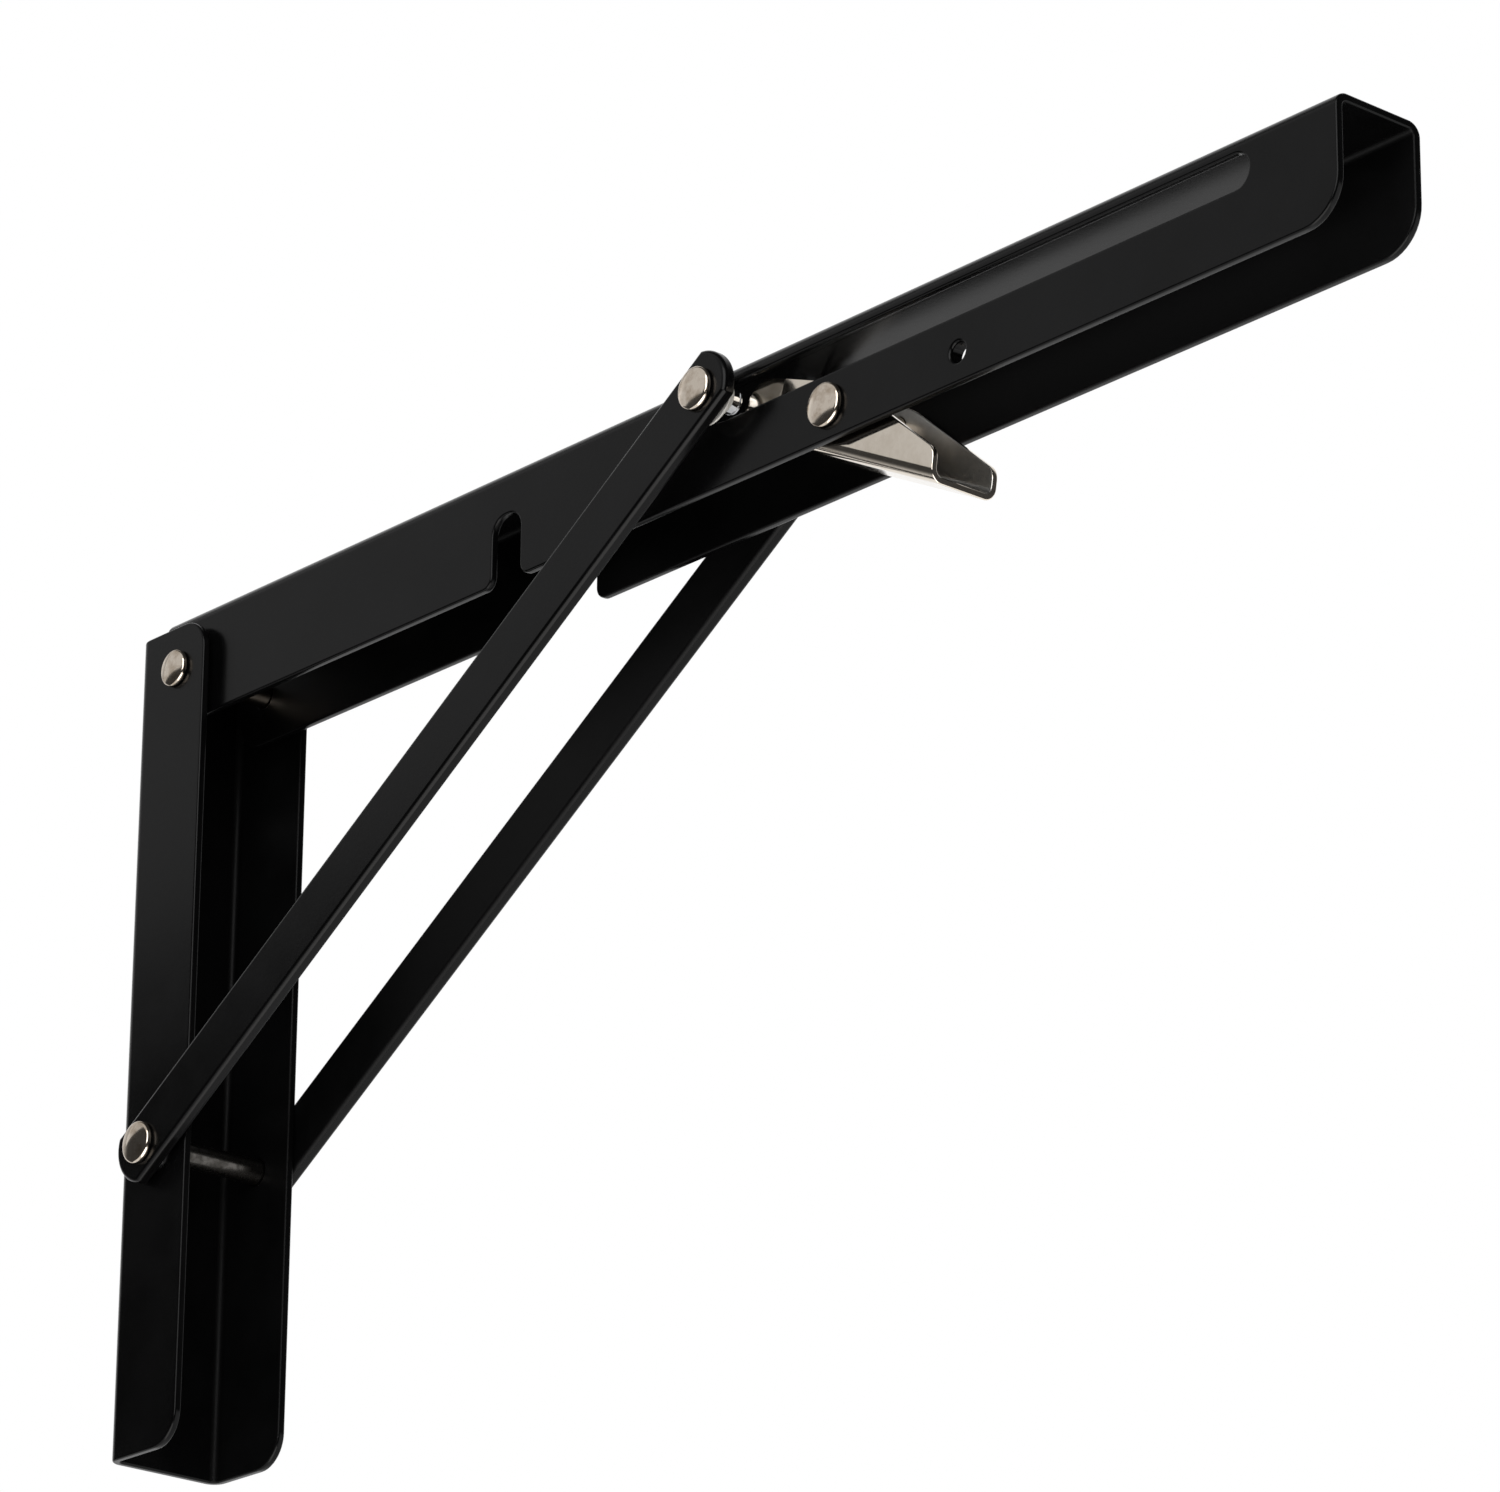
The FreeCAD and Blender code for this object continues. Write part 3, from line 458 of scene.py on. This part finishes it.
def finish_named(name):
    """The finish of this name, built at its first use."""
    found = bpy.data.materials.get(name)
    if found:
        return found
    row = FINISHES[name]
    made = Finish(name, row["metallic"], row["grain"], row["mottle"])
    first, second = (getattr(settings().finish, colour) for colour in row["colours"])
    made.colour(first, second, *row.get("range", COLOUR_RANGE))
    if "specular" in row:
        made.shader.inputs["Specular IOR Level"].default_value = row["specular"]
    mask = made.marks(row["marks"]) if "marks" in row else made.grain.outputs["Mottle"]
    made.roughness(row["roughness"], mask)
    made.bump(*row["bump"])
    return made.material


def paint(node, finish):
    """Gives a CAD node's object one finish."""
    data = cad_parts[node].data
    data.materials.clear()
    data.materials.append(finish_named(finish))


def cad_shape(node):
    """A CAD node's mesh with its loose corners joined."""
    work = bmesh.new()
    work.from_mesh(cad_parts[node].data)
    bmesh.ops.remove_doubles(work, verts=work.verts, dist=MERGE)
    return work


def add_piece(work, node, finishes):
    """Makes a worked shape the piece that stands for a CAD node, with its finishes."""
    for face in work.faces:
        face.smooth = True
    mesh = bpy.data.meshes.new(f"{node}_soft")
    work.to_mesh(mesh)
    work.free()
    for finish in finishes:
        mesh.materials.append(finish_named(finish))
    piece = bpy.data.objects.new(f"{node}_soft", mesh)
    bpy.context.collection.objects.link(piece)
    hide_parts(node)
    return piece


def dress(work, node, body, finishes, width):
    """Makes a worked shape a piece that rides on one body, and rounds its edges."""
    edges = settings().edges
    piece = add_piece(work, node, finishes)
    bevel = piece.modifiers.new("edge_rounding", "BEVEL")
    bevel.width = width
    bevel.segments = edges.segments
    bevel.limit_method = "ANGLE"
    bevel.angle_limit = edges.sharp
    bevel.use_clamp_overlap = False
    bevel.miter_outer = "MITER_ARC"
    piece.modifiers.new("flat_faces", "WEIGHTED_NORMAL")
    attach(piece, body)


def soften(node, body, finishes, width):
    """Copy of a CAD node with rounded edges, and the second finish on faces turned to the bracket's
    middle plane."""
    work = cad_shape(node)
    bmesh.ops.dissolve_limit(work, angle_limit=FLAT, verts=work.verts, edges=work.edges)
    work.normal_update()
    for face in work.faces:
        inwards = face.normal.y * face.calc_center_median().y < 0
        face.material_index = 1 if inwards and abs(face.normal.y) > LEAN else 0
    dress(work, node, body, finishes, width)


def wind_spring(node):
    """Copy of a torsion spring in drawn wire, with its place baked into its mesh."""
    work = cad_shape(node)
    bmesh.ops.recalc_face_normals(work, faces=work.faces)
    piece = add_piece(work, node, ("drawn_spring_wire",))
    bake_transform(piece)


def turned(profile, centre, closed):
    """Shape that a profile of (radius, place along Y) points sweeps about a line along Y."""
    work = bmesh.new()
    points = [work.verts.new((centre.x + radius, along, centre.z)) for radius, along in profile]
    pairs = zip(points, points[1:] + points[:1] if closed else points[1:])
    lines = [work.edges.new(pair) for pair in pairs]
    bmesh.ops.spin(work, geom=[*points, *lines], cent=centre, axis=(0, 1, 0), dvec=(0, 0, 0),
                   angle=radians(360), steps=TURN_STEPS, use_merge=True)
    bmesh.ops.remove_doubles(work, verts=work.verts, dist=MERGE)
    bmesh.ops.recalc_face_normals(work, faces=work.faces)
    return work


def head_radius(low, high):
    """Radius of the visible head of a rivet or pin with this CAD box."""
    return (high.x - low.x) / 2 * settings().turning.slimming


def head_points(tip, inwards, radius, shaft):
    """Profile of a domed head from the middle of its dome to the shaft below it."""
    turning = settings().turning
    steps = [step / DOME_STEPS for step in range(DOME_STEPS + 1)]
    dome = [(radius * step, tip + inwards * turning.crown * step ** 2) for step in steps]
    seat = tip + inwards * turning.height
    return [*dome, (radius, seat), (shaft, seat)]


def side_ends(low, high):
    """Outer and inner end along Y of a piece on one side of the bracket, and the sign from outer to
    inner."""
    outer, inner = (low.y, high.y) if abs(low.y) > abs(high.y) else (high.y, low.y)
    return outer, inner, 1 if inner > outer else -1


def turn_pin(node, body):
    """Pin with a domed head at both ends, and its own finish on the shaft between them."""
    low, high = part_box(node)
    centre = (low + high) / 2
    radius, shaft = head_radius(low, high), settings().turning.pin / 2
    first = head_points(low.y, 1, radius, shaft)
    second = head_points(high.y, -1, radius, shaft)
    work = turned([*first, *reversed(second)], centre, False)
    for face in work.faces:
        face.material_index = 1 if abs(face.calc_center_median().y - centre.y) < shaft else 0
    head_finish = "rivet_nickel_plate"
    # painted shade on the listed dark shafts between the rail's walls
    shaft_finish = "oiled_shaft_steel" if node in DARK_SHAFTS else head_finish
    dress(work, node, body, (head_finish, shaft_finish), settings().edges.head)


def turn_rivet(node, body):
    """Rivet with a domed head on the bracket's outer side."""
    low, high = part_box(node)
    tip, end, inwards = side_ends(low, high)
    radius, shaft = head_radius(low, high), settings().turning.rivet / 2
    profile = [*head_points(tip, inwards, radius, shaft), (shaft, end), (0, end)]
    work = turned(profile, (low + high) / 2, False)
    dress(work, node, body, ("rivet_nickel_plate",), settings().edges.head)


def turn_stud(node, body):
    """Stud with a narrow lip at its inner end."""
    turning = settings().turning
    low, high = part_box(node)
    outer, inner, inwards = side_ends(low, high)
    step = inner - inwards * turning.stud_sheet
    shaft, lip = turning.rivet / 2, turning.stud_lip / 2
    profile = [(0, outer), (shaft, outer), (shaft, step), (lip, step), (lip, inner), (0, inner)]
    work = turned(profile, (low + high) / 2, False)
    dress(work, node, body, ("stud_bright_plate",), settings().edges.stud)


def turn_slot_washer(node, body):
    """Thin washer behind a strut, on a neck that rides on the arm."""
    turning = settings().turning
    low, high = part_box(node)
    outer, inner, inwards = side_ends(low, high)
    step = outer + inwards * turning.washer_sheet
    bore, neck, rim = turning.bore / 2, turning.neck / 2, turning.washer / 2
    profile = [(bore, inner), (neck, inner), (neck, step), (rim, step), (rim, outer), (bore, outer)]
    work = turned(profile, (low + high) / 2, True)
    dress(work, node, body, ("moulded_nylon",), settings().edges.washer)


class BRACKET_OT_coat_rails(bpy.types.Operator):
    """Rounds and coats the wall rail and the shelf arm"""

    bl_idname = "bracket.coat_rails"
    bl_label = "Coat rails"

    def execute(self, context):
        for node, body in RAILS.items():
            soften(node, body, COATS, settings().edges.rail)
        return {"FINISHED"}


class BRACKET_OT_coat_struts(bpy.types.Operator):
    """Rounds and coats the two struts"""

    bl_idname = "bracket.coat_struts"
    bl_label = "Coat struts"

    def execute(self, context):
        for node, body in STRUTS.items():
            soften(node, body, COATS, settings().edges.strut)
        return {"FINISHED"}


class BRACKET_OT_plate_lever(bpy.types.Operator):
    """Rounds and plates the release lever"""

    bl_idname = "bracket.plate_lever"
    bl_label = "Plate lever"

    def execute(self, context):
        for node, body in LEVER.items():
            soften(node, body, LEVER_PLATES, settings().edges.lever)
        return {"FINISHED"}


class BRACKET_OT_plate_rivets(bpy.types.Operator):
    """Turns and plates the pins, strut rivets and slot studs"""

    bl_idname = "bracket.plate_rivets"
    bl_label = "Plate rivets"

    def execute(self, context):
        for nodes, turn in ((PINS, turn_pin), (RIVETS, turn_rivet), (STUDS, turn_stud)):
            for node, body in nodes.items():
                turn(node, body)
        return {"FINISHED"}


class BRACKET_OT_finish_washers(bpy.types.Operator):
    """Turns the nylon slot washers and gives the flat washers their zinc"""

    bl_idname = "bracket.finish_washers"
    bl_label = "Finish washers"

    def execute(self, context):
        for node, body in SLOT_WASHERS.items():
            turn_slot_washer(node, body)
        for node in ZINC_NODES:
            paint(node, "dull_zinc_plate")
        return {"FINISHED"}


class BRACKET_OT_finish_spring(bpy.types.Operator):
    """Gives the lever's spring its drawn wire"""

    bl_idname = "bracket.finish_spring"
    bl_label = "Finish spring"

    def execute(self, context):
        for node, (fixed, moving) in SPRINGS.items():
            wind_spring(node)
        return {"FINISHED"}


def add_camera():
    """Camera at the photograph's place, angle and lens."""
    studio = settings().studio
    look = Vector(studio.look).normalized()
    up = Vector(studio.right).normalized().cross(look).normalized()
    right = look.cross(up)
    data = bpy.data.cameras.new("photo_camera")
    data.sensor_fit = "HORIZONTAL"
    data.sensor_width = SENSOR
    data.lens = studio.lens
    data.clip_start, data.clip_end = CLIP
    camera = bpy.data.objects.new("photo_camera", data)
    turn = Matrix((right, up, -look)).transposed().to_4x4()
    camera.matrix_world = Matrix.Translation(Vector(studio.camera)) @ turn
    bpy.context.collection.objects.link(camera)
    bpy.context.scene.camera = camera


def add_soft_box(name, place, target, size, power, roll=0.0, colour=WHITE[:3]):
    """Rectangular lamp that faces a point and that the camera doesn't see."""
    data = bpy.data.lights.new(name, "AREA")
    data.shape = "RECTANGLE"
    data.size, data.size_y = size
    data.energy = power
    data.color = colour
    lamp = bpy.data.objects.new(name, data)
    lamp.location = place
    facing = (Vector(target) - Vector(place)).to_track_quat("-Z", "Y")
    lamp.rotation_euler = (facing @ Quaternion((0, 0, 1), roll)).to_euler()
    lamp.visible_camera = False
    bpy.context.collection.objects.link(lamp)


def any_ray(tree, rays):
    """Mask of the rays that are of one of these kinds."""
    path = tree.nodes.new("ShaderNodeLightPath")
    share = path.outputs[rays[0]]
    for ray in rays[1:]:
        joined = tree.nodes.new("ShaderNodeMath")
        joined.operation = "MAXIMUM"
        tree.links.new(share, joined.inputs[0])
        tree.links.new(path.outputs[ray], joined.inputs[1])
        share = joined.outputs["Value"]
    return share


def pale_floor():
    """Pale finish that takes shadows, glows a little for the eye and for gloss, and turns into the
    white background towards the rim."""
    material = bpy.data.materials.new("pale_floor")
    material.use_nodes = True
    tree = material.node_tree
    shader = tree.nodes["Principled BSDF"]
    shader.inputs["Roughness"].default_value = FLOOR_ROUGHNESS
    shader.inputs["Specular IOR Level"].default_value = 0.0
    shader.inputs["Emission Color"].default_value = WHITE
    place = tree.nodes.new("ShaderNodeTexCoord")
    flat = tree.nodes.new("ShaderNodeVectorMath")
    flat.operation = "MULTIPLY"
    flat.inputs[1].default_value = ACROSS
    reach = tree.nodes.new("ShaderNodeVectorMath")
    reach.operation = "LENGTH"
    tree.links.new(place.outputs["Object"], flat.inputs[0])
    tree.links.new(flat.outputs["Vector"], reach.inputs[0])
    fade = [settings().studio.floor_radius * share for share in FLOOR_FADE]
    grey, glow = (map_range(tree, reach.outputs["Value"], fade, bounds, "SMOOTHSTEP")
                  for bounds in (FLOOR_GREY, FLOOR_GLOW))
    seen = any_ray(tree, ("Is Camera Ray", "Is Glossy Ray", "Is Transmission Ray"))
    lift = tree.nodes.new("ShaderNodeMath")
    lift.operation = "MULTIPLY"
    tree.links.new(seen, lift.inputs[0])
    tree.links.new(glow, lift.inputs[1])
    tree.links.new(grey, shader.inputs["Base Color"])
    tree.links.new(lift.outputs["Value"], shader.inputs["Emission Strength"])
    return material


def add_floor():
    """Round floor below the bracket."""
    studio = settings().studio
    shape = bmesh.new()
    bmesh.ops.create_circle(shape, cap_ends=True, segments=TURN_STEPS, radius=studio.floor_radius)
    bmesh.ops.translate(shape, verts=shape.verts, vec=(0, 0, studio.floor))
    mesh = bpy.data.meshes.new("floor")
    shape.to_mesh(mesh)
    shape.free()
    mesh.materials.append(pale_floor())
    floor = bpy.data.objects.new("floor", mesh)
    bpy.context.collection.objects.link(floor)


def add_room():
    """Room that is white to the eye, dimmer on the camera's side for gloss, and even for other
    light."""
    studio = settings().studio
    world = bpy.data.worlds.new("studio")
    world.use_nodes = True
    bpy.context.scene.world = world
    tree = world.node_tree
    background = tree.nodes["Background"]
    background.inputs["Color"].default_value = WHITE
    place = tree.nodes.new("ShaderNodeTexCoord")
    behind = tree.nodes.new("ShaderNodeVectorMath")
    behind.operation = "DOT_PRODUCT"
    behind.inputs[1].default_value = Vector(ROOM_BACK).normalized()
    tree.links.new(place.outputs["Generated"], behind.inputs[0])
    gloss = map_range(tree, behind.outputs["Value"], ROOM_RANGE, (studio.dim, ROOM_WHITE), "SMOOTHSTEP")
    shiny = tree.nodes.new("ShaderNodeMix")
    shiny.inputs["A"].default_value = studio.fill
    tree.links.new(any_ray(tree, ("Is Glossy Ray",)), shiny.inputs["Factor"])
    tree.links.new(gloss, shiny.inputs["B"])
    seen = tree.nodes.new("ShaderNodeMix")
    seen.inputs["B"].default_value = ROOM_WHITE
    tree.links.new(any_ray(tree, ("Is Camera Ray", "Is Transmission Ray")), seen.inputs["Factor"])
    tree.links.new(shiny.outputs["Result"], seen.inputs["A"])
    tree.links.new(seen.outputs["Result"], background.inputs["Strength"])


class BRACKET_OT_build_stage(bpy.types.Operator):
    """Sets the camera, the floor, the room and the lamps"""

    bl_idname = "bracket.build_stage"
    bl_label = "Build stage"

    def execute(self, context):
        studio = settings().studio
        context.scene.view_settings.view_transform = "Standard"
        add_camera()
        add_floor()
        add_room()
        add_soft_box("key_box", place=(-0.15, -0.30, 0.43), target=(-0.15, 0.0, 0.43),
                     size=(1.3, 0.5), power=studio.key, roll=radians(-3))
        add_soft_box("front_box", place=(0.80, -0.90, 0.45), target=(0.15, 0.0, 0.05),
                     size=(0.9, 1.2), power=studio.front)
        add_soft_box("low_box", place=(0.62, -0.40, -0.85), target=(0.62, -0.40, 0.0),
                     size=(1.2, 1.2), power=studio.low, colour=(1.0, 0.97, 0.94))
        add_soft_box("back_box", place=(0.95, 0.95, -0.30), target=(0.15, 0.0, 0.0),
                     size=(1.2, 0.9), power=studio.back)
        return {"FINISHED"}


OPERATORS = (
    BRACKET_OT_coat_rails, BRACKET_OT_coat_struts, BRACKET_OT_plate_lever, BRACKET_OT_plate_rivets,
    BRACKET_OT_finish_washers, BRACKET_OT_finish_spring, BRACKET_OT_build_stage,
)


class BRACKET_PT_panel(bpy.types.Panel):
    """Settings and steps of the bracket"""

    bl_idname = "BRACKET_PT_panel"
    bl_label = "Folding shelf bracket"
    bl_space_type = "VIEW_3D"
    bl_region_type = "UI"
    bl_category = "Bracket"

    def draw(self, context):
        for group in (settings().edges, settings().turning, settings().finish, settings().studio):
            box = self.layout.box()
            for name in group.__annotations__:
                box.prop(group, name)
        for operator in OPERATORS:
            self.layout.operator(operator.bl_idname)


CLASSES = (
    BracketEdges, BracketTurning, BracketFinish, BracketStudio, BracketSettings, *OPERATORS,
    BRACKET_PT_panel,
)


def register():
    """Adds the add-on's classes and settings."""
    for item in CLASSES:
        bpy.utils.register_class(item)
    bpy.types.Scene.bracket = PointerProperty(
        name="Bracket", description="Settings of the folding shelf bracket", type=BracketSettings)


def unregister():
    """Removes the add-on's classes and settings."""
    del bpy.types.Scene.bracket
    for item in reversed(CLASSES):
        bpy.utils.unregister_class(item)


def main():
    """Finishes every piece and sets the stage."""
    register()
    bpy.ops.bracket.coat_rails()
    bpy.ops.bracket.coat_struts()
    bpy.ops.bracket.plate_lever()
    bpy.ops.bracket.plate_rivets()
    bpy.ops.bracket.finish_washers()
    bpy.ops.bracket.finish_spring()
    bpy.ops.bracket.build_stage()


if __name__ == "__main__":
    main()
